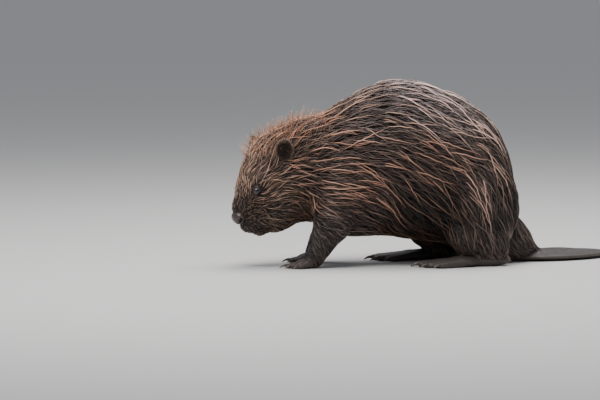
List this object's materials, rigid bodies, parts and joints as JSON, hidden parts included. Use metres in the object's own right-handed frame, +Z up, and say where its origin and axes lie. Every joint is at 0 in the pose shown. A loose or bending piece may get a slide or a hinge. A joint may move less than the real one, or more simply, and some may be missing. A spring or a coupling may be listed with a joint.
{
  "type": "beaver",
  "caption": "Life-size adult beaver standing with its head lowered and turned a little, in a wet furry coat, with its flat scaly tail laid on the floor.",
  "frame": {"origin": "on the floor, in the middle of the whole animal's footprint box", "axes": "+X from the head to the tail, -Y the animal's left side, +Z up"},
  "size_m": [0.7686, 0.2724, 0.3497],
  "materials": {
    "coat": "wet brown fur in pointed locks",
    "bare_skin": "damp grey-black skin, scaly on the tail",
    "nose_leather": "damp grey-brown skin",
    "eye": "wet and glossy",
    "claw": "smooth dark horn",
    "whisker": "pale bristle"
  },
  "bodies": {
    "root": {"head": "coat", "lower_jaw": "coat", "nose": "nose_leather", "ear_left": "bare_skin", "ear_right": "bare_skin", "eye_left": "eye", "eye_right": "eye", "neck": "coat", "chest": "coat", "trunk": "coat", "rump": "coat", "tail_root": "coat", "tail_paddle": "bare_skin", "foreleg_left": "coat", "foreleg_right": "coat", "forefoot_left": "bare_skin", "forefoot_right": "bare_skin", "hindleg_left": "coat", "hindleg_right": "coat", "hindfoot_left": "bare_skin", "hindfoot_right": "bare_skin"}
  },
  "joints": []
}
